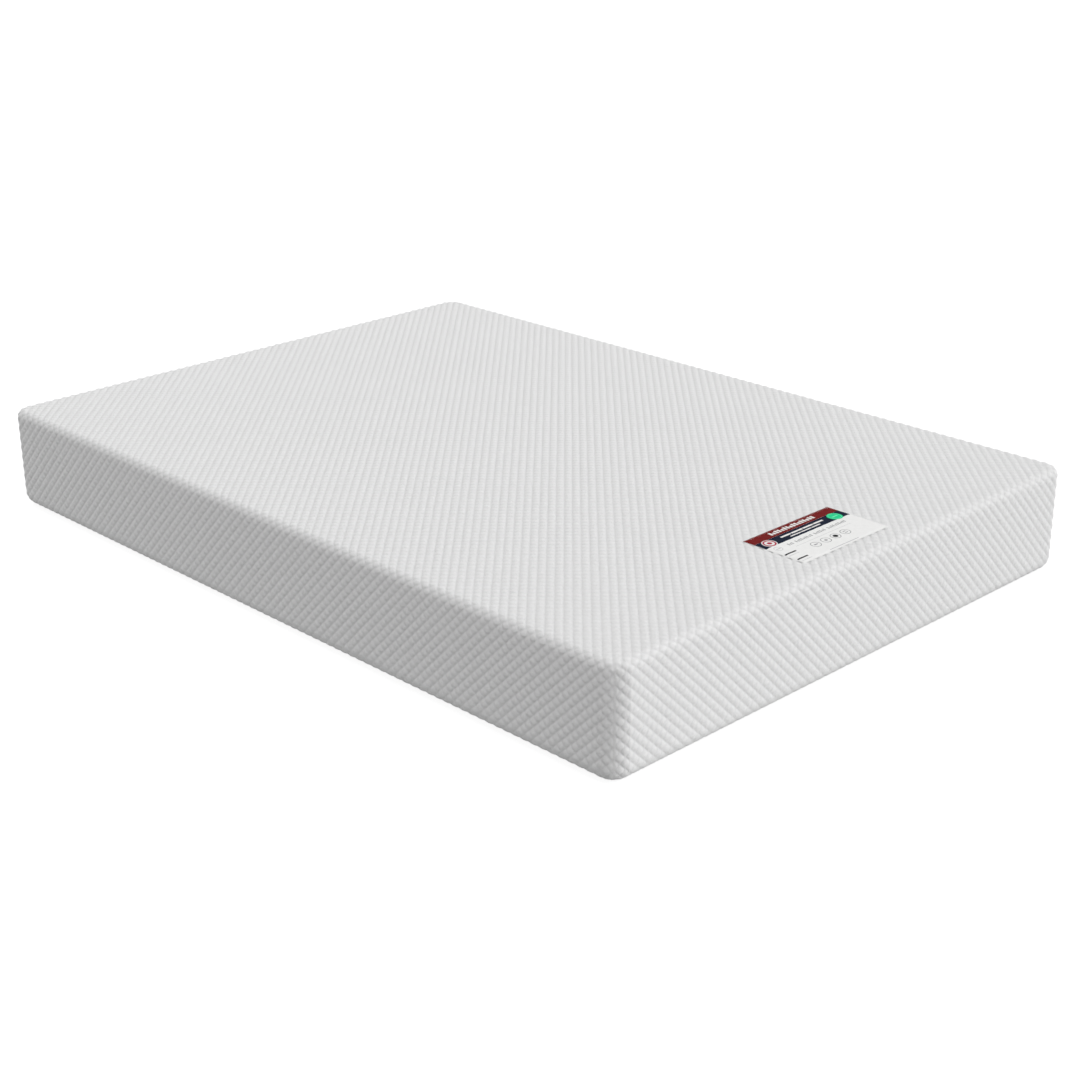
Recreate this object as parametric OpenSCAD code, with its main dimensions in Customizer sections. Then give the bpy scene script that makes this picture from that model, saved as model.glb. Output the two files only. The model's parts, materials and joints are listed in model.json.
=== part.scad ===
// Double-size memory foam mattress with a zipped bubble-knit cover over a two-layer foam core.
// Millimetres. The origin is the centre of the underside. X runs across the bed, Y from the
// foot end to the head end, and Z up. The zip is low on the +X long side.

/* [Mattress] */
// Width across the bed
mattress_w = 1350; // [900:10:1800]
// Length from the foot end to the head end
mattress_l = 1900; // [1850:10:2000]
// Height from the underside to the sleeping surface
mattress_h = 230; // [200:5:300]

/* [Edges] */
// Radius of the four upright corners
corner_r = 42; // [36:1:60]
// Radius of the edge round the top
top_edge_r = 18; // [18:1:34]
// Radius of the edge round the bottom
bottom_edge_r = 32; // [26:1:36]

/* [Cover] */
// Thickness of the lofted bubble knit
cover_t = 10; // [10:0.5:12]
// Thickness of the base fabric
base_t = 2; // [1:0.5:3]
// Distance from the sides to the seam round the base panel
base_seam_inset = 55; // [50:1:80]
// Width of the overlocked seam round the base panel
base_seam_w = 4; // [3:0.5:6]
// Width of the thread line in each upright corner
corner_seam_w = 2.4; // [1.5:0.1:4]

/* [Foam core] */
// Thickness of the memory foam on top
memory_foam_t = 50; // [20:5:80]
// Thickness of the adhesive between the two foams
adhesive_t = 1; // [0.5:0.5:1]
// Thickness of the knitted sock round the foam
sock_t = 1.5; // [1:0.5:2]
// Distance from the long sides to the ends of the sock's sewn mouth
sock_mouth_inset = 115; // [100:5:200]

/* [Zip] */
// Length of the opening for the zip
zip_opening_l = 1720; // [1200:10:1720]
// Height of the opening for the zip
zip_opening_h = 24; // [20:1:28]
// Height of the chain above the underside
zip_z = 64; // [64:1:90]
// Width of the closed chain
chain_w = 5.8; // [5:0.1:6]
// Thickness of the coils
coil_t = 2.4; // [2:0.1:2.4]
// Thickness of the tapes
tape_t = 1; // [0.8:0.1:1]
// Length of the slider
slider_l = 14; // [14:1:18]
// Width of the slider
slider_w = 9.6; // [9.4:0.1:10]
// Length of the pull from its pivot
pull_l = 30; // [24:1:40]
// Width of the pull
pull_w = 6.4; // [6:0.1:8]

/* [Labels] */
// Width of the printed label on top
label_w = 255; // [150:5:300]
// Length of the printed label on top
label_l = 147; // [100:1:180]
// Distance from the foot end to the printed label
label_from_foot = 57.5; // [40:1:90]
// Distance of the printed label's centre from the middle of the bed
label_off_centre = 12; // [-60:1:60]
// Thickness of the labels
label_t = 0.6; // [0.4:0.1:1]
// Width of the care tag on the head end
tag_w = 80; // [40:1:100]
// Height of the care tag
tag_h = 58; // [40:1:80]

/* [Hidden] */

$fn = 64;
gap = 0.3;                              // clearance between neighbouring soft pieces
cut = 1;                                // how far a cutting solid runs past a face

// Levels through the mattress
sock_z0 = base_t;
sock_z1 = mattress_h - cover_t;
foam_z0 = sock_z0 + sock_t;
foam_z1 = sock_z1 - sock_t;
adhesive_z1 = foam_z1 - memory_foam_t;
adhesive_z0 = adhesive_z1 - adhesive_t;
sock_mouth_z = (sock_z0 + sock_z1) / 2;
sock_mouth_h = 3;
sock_mouth_w = mattress_w - 2 * sock_mouth_inset;

// Insets from the outer surface
sock_in = cover_t + gap;
foam_in = sock_in + sock_t + gap;

// Seams
groove_gap = 0.3;
corner_seam_depth = 1.6;
seam_recess = 0.2;                      // how far the corner threads lie below the surface
base_opening_r = 12;

// Zip, in depth from the cover's outer surface
side_x = mattress_w / 2;
tape_x0 = side_x - 7.5;                 // inner face of the tapes
tape_x1 = tape_x0 + tape_t;
coil_x1 = tape_x1 + coil_t;
tape_edge = 1.2;                        // from the chain's middle to each tape's woven edge
coil_gap = 0.1;                         // half the gap between the two coils
slide_gap = 0.3;                        // clearance of the slider round the tapes and coils
slider_base_t = 1.5;
slider_top_t = 1.2;
slider_x0 = tape_x0 - slide_gap - slider_base_t;
slider_top_x0 = coil_x1 + slide_gap;
slider_top_x1 = slider_top_x0 + slider_top_t;
stop_l = 2;
stop_w = 2.6;
zip_half = zip_opening_l / 2;
nose_y = -zip_half + 4.5;               // front of the slider with the zip closed
coil_y0 = nose_y + 5.5;
coil_y1 = zip_half + slider_l / 2 - pull_l - 3;   // leaves the flat pull inside the opening
post_w = 2;
bridge_w = 2;
bridge_t = 1;
bridge_leg = 1.2;
bridge_reach = 4.1;                     // from the pivot to the outside of each bridge leg
pull_t = 1.2;
pivot_gap = 0.15;
pivot_x = slider_top_x1 + pivot_gap + pull_t / 2;
pivot_y = nose_y + slider_l / 2;
bridge_x0 = pivot_x + pull_t / 2 + pivot_gap;
eye_w = 3;
eye_l = 6.2;
stitch_t = 0.7;
stitch_from_edge = 2;

// Labels
label_edge_w = 1;
label_y = -mattress_l / 2 + label_from_foot + label_l / 2;
tag_x = side_x - 150;
tag_z = mattress_h / 2;

// Upright section, w wide and flat below and above, with a round lower and upper edge
module edge_profile(w, z0, z1, r_low, r_high) {
    translate([-w / 2, z0 + r_low])
        square([w, z1 - z0 - r_low - r_high]);
    translate([-w / 2 + r_low, z0])
        square([w - 2 * r_low, r_low]);
    translate([-w / 2 + r_high, z1 - r_high])
        square([w - 2 * r_high, r_high]);
    for (side = [-1, 1]) {
        translate([side * (w / 2 - r_low), z0 + r_low])
            circle(r_low);
        translate([side * (w / 2 - r_high), z1 - r_high])
            circle(r_high);
    }
}

// Right half of an upright section
module half_profile(r, z0, z1, r_low, r_high) {
    intersection() {
        edge_profile(2 * r, z0, z1, r_low, r_high);
        translate([0, z0])
            square([r, z1 - z0]);
    }
}

// Block of the mattress's own form, drawn in by inset on its four sides. The middle, the two
// long sides and the four corners meet on flat faces
module mattress_block(inset, z0, z1) {
    w = mattress_w - 2 * inset;
    l = mattress_l - 2 * inset;
    r = corner_r - inset;
    r_low = bottom_edge_r - inset;
    r_high = top_edge_r - inset;
    rotate([90, 0, 90])
        linear_extrude(w - 2 * r, center = true)
            edge_profile(l, z0, z1, r_low, r_high);
    for (mx = [0, 1])
        mirror([mx, 0, 0])
            translate([w / 2 - r, 0, 0]) {
                rotate([90, 0, 0])
                    linear_extrude(l - 2 * r, center = true)
                        half_profile(r, z0, z1, r_low, r_high);
                for (my = [0, 1])
                    mirror([0, my, 0])
                        translate([0, l / 2 - r, 0])
                            rotate_extrude(angle = 90)
                                half_profile(r, z0, z1, r_low, r_high);
            }
}

// Flat rectangle with round corners
module rounded_rect(w, l, r) {
    square([w - 2 * r, l], center = true);
    square([w, l - 2 * r], center = true);
    for (sx = [-1, 1], sy = [-1, 1])
        translate([sx * (w / 2 - r), sy * (l / 2 - r)])
            circle(r);
}

// Outline on the underside, inset from the sides, for the base opening, seam and panel
module base_outline(inset) {
    rounded_rect(
        mattress_w - 2 * inset,
        mattress_l - 2 * inset,
        base_opening_r + base_seam_inset - inset
    );
}

// Upright bar in the surface of one corner, grown by grow all round
module corner_bar(sx, sy, grow) {
    across = corner_seam_w + 2 * grow;
    deep = corner_seam_depth + 2 * grow;
    tall = mattress_h - top_edge_r - bottom_edge_r;
    translate([sx * (side_x - corner_r), sy * (mattress_l / 2 - corner_r), bottom_edge_r])
        rotate([0, 0, atan2(sy, sx)])
            translate([corner_r - corner_seam_depth - seam_recess - grow, -across / 2, 0])
                cube([deep, across, tall]);
}

// Frame of thread round a flat label
module label_frame(w, l) {
    difference() {
        square([w + 2 * label_edge_w, l + 2 * label_edge_w], center = true);
        square([w, l], center = true);
    }
}

// Places a child on the sleeping surface where the printed label lies, in its pocket
module at_label() {
    translate([label_off_centre, label_y, mattress_h - label_t])
        children();
}

// Places a child on the head end where the care tag lies, in its pocket
module at_tag() {
    translate([tag_x, mattress_l / 2, tag_z])
        rotate([90, 0, 0])
            children();
}

module top_cover() {
    pocket_edge = 2 * (label_edge_w + gap);
    color("whitesmoke")
        difference() {
            mattress_block(0, 0, mattress_h);
            mattress_block(cover_t, sock_z0, sock_z1);
            translate([0, 0, -cut])
                linear_extrude(base_t + 2 * cut)
                    base_outline(base_seam_inset);
            translate([side_x - cover_t - cut, -zip_half, zip_z - zip_opening_h / 2])
                cube([cover_t + 2 * cut, zip_opening_l, zip_opening_h]);
            for (sx = [-1, 1], sy = [-1, 1])
                corner_bar(sx, sy, groove_gap);
            at_label()
                linear_extrude(label_t + cut)
                    square([label_w + pocket_edge, label_l + pocket_edge], center = true);
            at_tag()
                translate([0, 0, -cut])
                    linear_extrude(label_t + cut)
                        square([tag_w + pocket_edge, tag_h + pocket_edge], center = true);
        }
}

module base_panel() {
    color("gainsboro")
        linear_extrude(base_t)
            base_outline(base_seam_inset + base_seam_w);
}

module base_seam() {
    color("white")
        linear_extrude(base_t)
            difference() {
                base_outline(base_seam_inset + gap);
                base_outline(base_seam_inset + base_seam_w - gap);
            }
}

module corner_seam(sx, sy) {
    color("white")
        corner_bar(sx, sy, 0);
}

// Woven tape from the chain to the edge of the opening. side is 1 above and -1 below
module zip_tape(side) {
    reach = zip_opening_h / 2 - tape_edge;
    middle = zip_z + side * (tape_edge + reach / 2);
    color("white")
        translate([tape_x0, -zip_half, middle - reach / 2])
            cube([tape_t, zip_opening_l, reach]);
}

// One side of the chain, on the outside of its tape
module zip_coil(side) {
    tall = chain_w / 2 - coil_gap;
    middle = zip_z + side * (coil_gap + tall / 2);
    color("ivory")
        translate([tape_x1, coil_y0, middle - tall / 2])
            cube([coil_t, coil_y1 - coil_y0, tall]);
}

module zip_stitching() {
    row_z = zip_opening_h / 2 - stitch_from_edge;
    color("white")
        for (side = [-1, 1])
            translate([tape_x1, -zip_half, zip_z + side * row_z - stitch_t / 2])
                cube([stitch_t, zip_opening_l, stitch_t]);
}

// Stops clamped on the two tapes just past the closed slider
module zip_top_stops() {
    color("silver")
        for (side = [-1, 1])
            translate([tape_x1, nose_y - gap - stop_l, zip_z + side * chain_w / 2 - stop_w / 2])
                cube([coil_t, stop_l, stop_w]);
}

// Retainer across both tapes where the open slider ends
module zip_bottom_stop() {
    color("silver")
        translate([tape_x1, coil_y1 + gap, zip_z - chain_w / 2])
            cube([coil_t, stop_l, chain_w]);
}

// Outline of the slider seen from outside, wide at its nose and narrow at its tail
module slider_plate() {
    nose_r = slider_w / 2;
    tail_w = slider_w - 1;
    translate([nose_r, 0])
        circle(nose_r);
    translate([nose_r, -tail_w / 2])
        square([slider_l - nose_r, tail_w]);
}

module zip_slider() {
    side_wall = (slider_w - 1 - chain_w) / 2 - slide_gap;
    wall_x0 = tape_x1 + slide_gap;
    wall_y0 = nose_y + slider_w / 2;
    color("silver") {
        for (plate = [[slider_x0, slider_base_t], [slider_top_x0, slider_top_t]])
            translate([plate[0], nose_y, zip_z])
                rotate([90, 0, 90])
                    linear_extrude(plate[1])
                        slider_plate();
        for (side = [-1, 1])
            translate([
                wall_x0,
                wall_y0,
                zip_z + side * (chain_w / 2 + slide_gap + side_wall / 2) - side_wall / 2
            ])
                cube([slider_top_x0 - wall_x0, slider_l - slider_w / 2, side_wall]);
        translate([slider_x0, nose_y + 1.5 + post_w / 2, zip_z])
            rotate([0, 90, 0])
                cylinder(h = slider_top_x1 - slider_x0, d = post_w);
        for (end = [-1, 1])
            translate([
                slider_top_x0,
                pivot_y + end * (bridge_reach - bridge_leg / 2) - bridge_leg / 2,
                zip_z - bridge_w / 2
            ])
                cube([bridge_x0 + bridge_t - slider_top_x0, bridge_leg, bridge_w]);
        translate([bridge_x0, pivot_y - bridge_reach, zip_z - bridge_w / 2])
            cube([bridge_t, 2 * bridge_reach, bridge_w]);
    }
}

module zip_pull() {
    grip_r = pull_w / 2;
    color("silver")
        translate([pivot_x, pivot_y, zip_z]) {
            cylinder(h = pull_w, d = pull_t, center = true);
            rotate([90, 0, 90])
                linear_extrude(pull_t, center = true)
                    difference() {
                        union() {
                            translate([0, -grip_r])
                                square([pull_l - grip_r, pull_w]);
                            translate([pull_l - grip_r, 0])
                                circle(grip_r);
                        }
                        translate([0, -eye_w / 2])
                            square([eye_l, eye_w]);
                    }
        }
}

module top_label() {
    color("firebrick")
        at_label()
            linear_extrude(label_t)
                square([label_w, label_l], center = true);
}

module label_stitching() {
    color("white")
        at_label()
            linear_extrude(label_t)
                label_frame(label_w, label_l);
}

module care_tag() {
    color("white")
        at_tag()
            linear_extrude(label_t)
                square([tag_w, tag_h], center = true);
}

module care_tag_stitching() {
    color("gainsboro")
        at_tag()
            linear_extrude(label_t)
                label_frame(tag_w, tag_h);
}

module sock_mouth(grow) {
    translate([
        -sock_mouth_w / 2 - grow,
        mattress_l / 2 - sock_in - sock_t - grow,
        sock_mouth_z - sock_mouth_h / 2 - grow
    ])
        cube([sock_mouth_w + 2 * grow, sock_t + 2 * grow, sock_mouth_h + 2 * grow]);
}

module inner_sock() {
    color("lightyellow")
        difference() {
            mattress_block(sock_in, sock_z0, sock_z1);
            mattress_block(sock_in + sock_t, foam_z0, foam_z1);
            sock_mouth(gap);
        }
}

module sock_end_seam() {
    color("khaki")
        sock_mouth(0);
}

module foam_slice(z0, z1) {
    intersection() {
        mattress_block(foam_in, foam_z0, foam_z1);
        translate([-mattress_w / 2, -mattress_l / 2, z0])
            cube([mattress_w, mattress_l, z1 - z0]);
    }
}

module memory_foam_layer() {
    color("lavender")
        foam_slice(adhesive_z1, foam_z1);
}

module adhesive_film() {
    color("wheat")
        foam_slice(adhesive_z0, adhesive_z1);
}

module reflex_foam_base() {
    color("lightsteelblue")
        foam_slice(foam_z0, adhesive_z0);
}

top_cover();
base_panel();
base_seam();
corner_seam(-1, -1);  // corner_seam_foot_left
corner_seam(1, -1);  // corner_seam_foot_right
corner_seam(-1, 1);  // corner_seam_head_left
corner_seam(1, 1);  // corner_seam_head_right
zip_tape(1);  // zip_tape_upper
zip_tape(-1);  // zip_tape_lower
zip_coil(1);  // zip_coil_upper
zip_coil(-1);  // zip_coil_lower
zip_stitching();
zip_top_stops();
zip_bottom_stop();
zip_slider();
zip_pull();
top_label();
label_stitching();
care_tag();
care_tag_stitching();
inner_sock();
sock_end_seam();
memory_foam_layer();
adhesive_film();
reflex_foam_base();
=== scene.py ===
"""Looks of a double memory foam mattress in a zipped bubble-knit cover, built round its CAD frame.

Metres, in the CAD's own frame: X across the bed, Y from the foot end to the head end, Z up.
The cover is one unfolded sheet of grid cells, laid over the rounded block and raised into domes.
"""

import json
import math

import bmesh
import bpy
import numpy as np
from mathutils import Matrix, Vector


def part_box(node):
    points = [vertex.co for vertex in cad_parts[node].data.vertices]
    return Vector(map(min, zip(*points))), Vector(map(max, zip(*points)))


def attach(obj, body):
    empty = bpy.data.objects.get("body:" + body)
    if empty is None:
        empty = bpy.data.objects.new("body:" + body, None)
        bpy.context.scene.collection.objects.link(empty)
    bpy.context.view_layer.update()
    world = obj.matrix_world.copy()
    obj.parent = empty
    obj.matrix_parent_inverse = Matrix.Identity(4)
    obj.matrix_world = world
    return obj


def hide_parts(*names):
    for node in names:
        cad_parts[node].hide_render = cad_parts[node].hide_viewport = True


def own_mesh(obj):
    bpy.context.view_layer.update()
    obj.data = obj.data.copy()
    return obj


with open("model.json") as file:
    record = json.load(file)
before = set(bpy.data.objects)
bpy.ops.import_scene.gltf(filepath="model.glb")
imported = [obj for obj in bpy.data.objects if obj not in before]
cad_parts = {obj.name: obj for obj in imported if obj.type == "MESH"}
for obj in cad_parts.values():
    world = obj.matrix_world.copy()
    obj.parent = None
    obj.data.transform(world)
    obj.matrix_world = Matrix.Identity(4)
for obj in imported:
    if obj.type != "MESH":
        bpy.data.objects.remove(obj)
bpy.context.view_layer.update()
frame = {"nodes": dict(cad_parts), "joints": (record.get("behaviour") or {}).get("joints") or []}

MM = 0.001
BODY = "mattress"
HALF_W, HALF_L, TOP_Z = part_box("top_cover")[1]

# Edge radii of the block, as the CAD has them
TOP_EDGE_R = 18 * MM
BOTTOM_EDGE_R = 32 * MM

# The dome pattern. Domes stand on a square lattice turned by 45 degrees, so their grooves run
# along the diagonals of the grid's cells
STEPS_PER_DOME = 6
DIFFERENCE_STEPS = 73  # grid steps in half the length less half the width
STEP = (HALF_L - HALF_W) / DIFFERENCE_STEPS
FLAT_STEPS_X = 168  # grid steps from the middle to a corner's centre
FLAT_STEPS_Y = FLAT_STEPS_X + DIFFERENCE_STEPS
CORNER_R = HALF_W - FLAT_STEPS_X * STEP
DOME_DEPTH = 3.2 * MM
HEM_DEPTH = 1.6 * MM  # how deep the fabric lies where a seam pulls it flat
GROOVE_PULL = 0.42  # how far grid lines crowd to the grooves, in steps
DOME_POWER = 0.65  # lower is flatter on top
DOME_REACH = 1.0  # square of the domes' radius, in half pitches
ROPE_TOP = 0.14  # how much shallower one family of grooves is on the top
ROPE_WALLS = 0.32  # and the other family on the long walls
ROPE_ENDS = 0.4  # how far the end walls go from the top's grooves to the long walls'
BOTTOM_CALM = 0.6  # how much flatter the domes are round the bottom edge
CALM_BEFORE = 0.3  # where that begins, above the bottom arc, as a share of the arc
CALM_SPAN = 0.8  # and over how much of the arc's length it comes in
SMALLEST_FACE = 1e-10  # square metres; smaller ones come from lines that meet in a point


# ---------------------------------------------------------------- mesh helpers


def new_object(name, points, faces, smooth=True):
    """A mesh object from arrays of points and of triangles or quads."""
    points = np.asarray(points, np.float32)
    faces = np.asarray(faces, np.int32)
    mesh = bpy.data.meshes.new(name)
    mesh.vertices.add(len(points))
    mesh.vertices.foreach_set("co", points.ravel())
    mesh.loops.add(faces.size)
    mesh.loops.foreach_set("vertex_index", faces.ravel())
    mesh.polygons.add(len(faces))
    starts = np.arange(0, faces.size, faces.shape[1], dtype=np.int32)
    mesh.polygons.foreach_set("loop_start", starts)
    mesh.update(calc_edges=True)
    mesh.polygons.foreach_set("use_smooth", np.full(len(faces), smooth))
    mesh.update()
    ob = bpy.data.objects.new(name, mesh)
    bpy.context.scene.collection.objects.link(ob)
    return ob


def finish_piece(ob, material, nodes=(), body=BODY):
    """Gives a piece its material and its body, and hides the CAD nodes it stands for."""
    ob.data.materials.clear()
    ob.data.materials.append(material)
    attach(ob, body)
    if nodes:
        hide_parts(*nodes)
    return ob


def set_uv(ob, name, loop_uv):
    layer = ob.data.uv_layers.new(name=name, do_init=False)
    layer.data.foreach_set("uv", np.asarray(loop_uv, np.float32).ravel())


def smoothstep(x):
    x = np.clip(x, 0.0, 1.0)
    return x * x * (3 - 2 * x)


def grid_faces(rows, columns, closed=False):
    """Quads of a grid of rows by columns points, closed round its columns if asked."""
    r = np.arange(rows - 1)[:, None]
    c = np.arange(columns if closed else columns - 1)[None, :]
    d = (c + 1) % columns
    quads = [r * columns + c, r * columns + d, (r + 1) * columns + d, (r + 1) * columns + c]
    return np.stack(quads, -1).reshape(-1, 4)


def vertex_normals(points, tris):
    a, b, c = points[tris[:, 0]], points[tris[:, 1]], points[tris[:, 2]]
    face = np.cross(b - a, c - a)
    total = np.zeros(points.shape)
    for axis in range(3):
        for corner in range(3):
            total[:, axis] += np.bincount(tris[:, corner], face[:, axis], len(points))
    return total / np.maximum(np.linalg.norm(total, axis=1), 1e-12)[:, None]


# ---------------------------------------------------------------- the cover's form

FLAT_R = CORNER_R - TOP_EDGE_R  # where the flat top ends, from the corner's centre
ARC_TOP = math.pi / 2 * TOP_EDGE_R
WALL_H = TOP_Z - TOP_EDGE_R - BOTTOM_EDGE_R
ARC_BOTTOM = math.pi / 2 * BOTTOM_EDGE_R
LIP_L = HALF_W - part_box("base_seam")[1].x - BOTTOM_EDGE_R
BELT_L = FLAT_R + ARC_TOP + WALL_H + ARC_BOTTOM + LIP_L
BELT_ROWS = math.ceil(BELT_L / STEP)
SPLIT_STEPS = (FLAT_R + 0.6 * ARC_TOP) / STEP  # where the top pieces end

# Each side of the belt: outward direction, direction along it, steps from the middle to its
# corners' centre line, and steps along it to a corner's centre
SIDES = {
    "left": ((-1, 0), (0, -1), FLAT_STEPS_X, FLAT_STEPS_Y),
    "right": ((1, 0), (0, 1), FLAT_STEPS_X, FLAT_STEPS_Y),
    "foot": ((0, -1), (1, 0), FLAT_STEPS_Y, FLAT_STEPS_X),
    "head": ((0, 1), (-1, 0), FLAT_STEPS_Y, FLAT_STEPS_X),
}


def belt_profile(run):
    """Reach outward, height, and the normal's outward and upward parts, run along the section."""
    s = run - FLAT_R
    a = np.clip(s / TOP_EDGE_R, 0, math.pi / 2)
    reach = np.where(s > 0, FLAT_R + TOP_EDGE_R * np.sin(a), run)
    z = TOP_Z - TOP_EDGE_R * (1 - np.cos(a))
    n_out, n_up = np.sin(a), np.cos(a)
    s = s - ARC_TOP
    z = z - np.clip(s, 0, WALL_H)
    s = s - WALL_H
    b = np.clip(s / BOTTOM_EDGE_R, 0, math.pi / 2)
    under = s > 0
    reach = np.where(under, CORNER_R - BOTTOM_EDGE_R * (1 - np.cos(b)), reach)
    z = np.where(under, BOTTOM_EDGE_R * (1 - np.sin(b)), z)
    n_out, n_up = np.where(under, np.cos(b), n_out), np.where(under, -np.sin(b), n_up)
    s = s - ARC_BOTTOM
    return reach - np.clip(s, 0, None), z, n_out, n_up


def run_at_height(z):
    """Distance along the section to a height on the upright wall."""
    return FLAT_R + ARC_TOP + (TOP_Z - TOP_EDGE_R - z)


SLOT_TOP_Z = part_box("zip_tape_upper")[1].z
SLOT_BOTTOM_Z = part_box("zip_tape_lower")[0].z
SLOT_HALF_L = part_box("zip_tape_upper")[1].y
SLOT_TOP_ROW = round(run_at_height(SLOT_TOP_Z) / STEP)
SLOT_BOTTOM_ROW = round(run_at_height(SLOT_BOTTOM_Z) / STEP)
SLOT_COLUMN = round(SLOT_HALF_L / STEP)
SLOT_BLEND = 6  # grid lines over which the grid bends to meet the opening
SEAM_REACH = 4.5 * MM  # width of the flattened fabric beside a seam
HEM_TURNS = (0.8 * MM, 2.0 * MM, 4.2 * MM, 6.4 * MM)  # depths of the zip hem's rows


def slot_shift(rows, columns):
    """Moves the right side's grid lines next to the zip's opening onto its edges, in metres."""
    row_marks = [
        SLOT_TOP_ROW - SLOT_BLEND,
        SLOT_TOP_ROW,
        SLOT_BOTTOM_ROW,
        SLOT_BOTTOM_ROW + SLOT_BLEND,
    ]
    to_top = run_at_height(SLOT_TOP_Z) - SLOT_TOP_ROW * STEP
    to_bottom = run_at_height(SLOT_BOTTOM_Z) - SLOT_BOTTOM_ROW * STEP
    near_end = np.clip((SLOT_COLUMN + SLOT_BLEND - np.abs(columns)) / SLOT_BLEND, 0, 1)
    down = np.interp(rows, row_marks, [0, to_top, to_bottom, 0]) * near_end
    to_end = SLOT_HALF_L - SLOT_COLUMN * STEP
    ends = [SLOT_COLUMN - SLOT_BLEND, SLOT_COLUMN, SLOT_COLUMN + SLOT_BLEND]
    sideways = np.interp(np.abs(columns), ends, [0, to_end, 0])
    sideways = sideways * np.interp(rows, row_marks, [0, 1, 1, 0])
    return down, sideways * np.sign(columns)


def groove_pull(i, j):
    """How far a grid point moves towards the grooves, in steps along the two grid directions."""
    turn = 2 * math.pi / STEPS_PER_DOME
    du = -GROOVE_PULL * np.sin(turn * (i + j))
    dv = -GROOVE_PULL * np.sin(turn * (i - j))
    return (du + dv) / 2, (du - dv) / 2


def dome_height(i, j, pulled, turned):
    """Height of the domes, 0 in the grooves to 1 on the crowns, where the grid is pulled or not.

    One family of grooves is shallower, so that the domes read as ropes. turned goes from
    0 on the top to 1 on the long walls, where it is the other family.
    """
    turn = 2 * math.pi / STEPS_PER_DOME
    half = STEPS_PER_DOME / 2
    crown = []
    for w in (i + j, i - j):
        w = w - GROOVE_PULL * np.sin(turn * w) * pulled
        crown.append(np.abs(np.mod(w, STEPS_PER_DOME) - half) / half)
    first = 1 - ROPE_TOP * (1 - turned)
    second = 1 - ROPE_WALLS * turned
    off_crown = (first * crown[0] ** 2 + second * crown[1] ** 2) / DOME_REACH
    return np.clip(1 - off_crown, 0, 1) ** DOME_POWER


def dome_centre(i, j):
    """Grid place of the crown of the dome that a point is on."""
    u = (np.floor((i + j) / STEPS_PER_DOME) + 0.5) * STEPS_PER_DOME
    v = (np.floor((i - j) / STEPS_PER_DOME) + 0.5) * STEPS_PER_DOME
    return (u + v) / 2, (u - v) / 2


def groove_cut(ids, i, j):
    """Two triangles a cell, cut along the groove that crosses it or lies nearest."""
    a, b, c, d = ids[:-1, :-1], ids[1:, :-1], ids[1:, 1:], ids[:-1, 1:]
    di, dj = i[1:, 1:] - i[:-1, :-1], j[1:, 1:] - j[:-1, :-1]
    mid_i, mid_j = i[:-1, :-1] + di / 2, j[:-1, :-1] + dj / 2

    def off_groove(w):
        w = np.mod(w, STEPS_PER_DOME)
        return np.minimum(w, STEPS_PER_DOME - w)

    rising = off_groove(mid_i - mid_j) <= off_groove(mid_i + mid_j)
    main = (rising == (di * dj > 0))[..., None]
    first = np.where(main, np.stack([a, b, c], -1), np.stack([a, b, d], -1))
    second = np.where(main, np.stack([a, c, d], -1), np.stack([b, c, d], -1))
    return np.stack([first, second], 2), mid_i, mid_j


class Cover:
    """The cover's sheet as it grows: points, lofts, and the triangles of its pieces."""

    def __init__(self):
        self.points, self.lofts, self.flats = [], [], []
        self.tris, self.owners = [], []
        self.count = 0

    def add(self, points, lofts, flats):
        """Adds points with their loft and their place on the flat sheet, and gives their numbers."""
        self.points.append(points.reshape(-1, 3))
        self.lofts.append(lofts.ravel())
        self.flats.append(flats.reshape(-1, 2))
        first = self.count
        self.count += lofts.size
        return first + np.arange(lofts.size).reshape(lofts.shape)

    def cells(self, tris, owner):
        tris = tris.reshape(-1, 3)
        owner = np.repeat(owner.ravel(), 2)
        self.tris.append(tris)
        self.owners.append(owner)


PIECES = ["top_foot_half", "top_head_half", "side_left", "side_right", "side_foot", "side_head"]


def lay_domes(p, normal, i, j, keep, pulled, turned):
    """Moves points in from the outer surface, so that the crowns touch it."""
    h = dome_height(i, j, pulled, turned)
    depth = HEM_DEPTH + (DOME_DEPTH * (1 - h) - HEM_DEPTH) * keep
    return p - normal * depth[..., None], h * keep


def build_top(cover):
    """The flat top between the corners' centres."""
    nx, ny = FLAT_STEPS_X, FLAT_STEPS_Y
    i, j = np.meshgrid(np.arange(-nx, nx + 1.0), np.arange(-ny, ny + 1.0), indexing="ij")
    di, dj = groove_pull(i, j)
    x, y = (i + di) * STEP, (j + dj) * STEP
    p = np.stack([x, y, np.full(x.shape, TOP_Z)], -1)
    p, h = lay_domes(p, np.array([0, 0, 1.0]), i, j, 1 - 0.8 * label_border(x, y), 1.0, 0.0)
    p[..., 2] -= label_press(x, y)
    ids = cover.add(p, h, np.stack([x, y], -1))
    tris, mid_i, mid_j = groove_cut(ids, i, j)
    cover.cells(tris, np.where(dome_centre(mid_i, mid_j)[1] < 0, 0, 1))
    return ids


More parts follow.
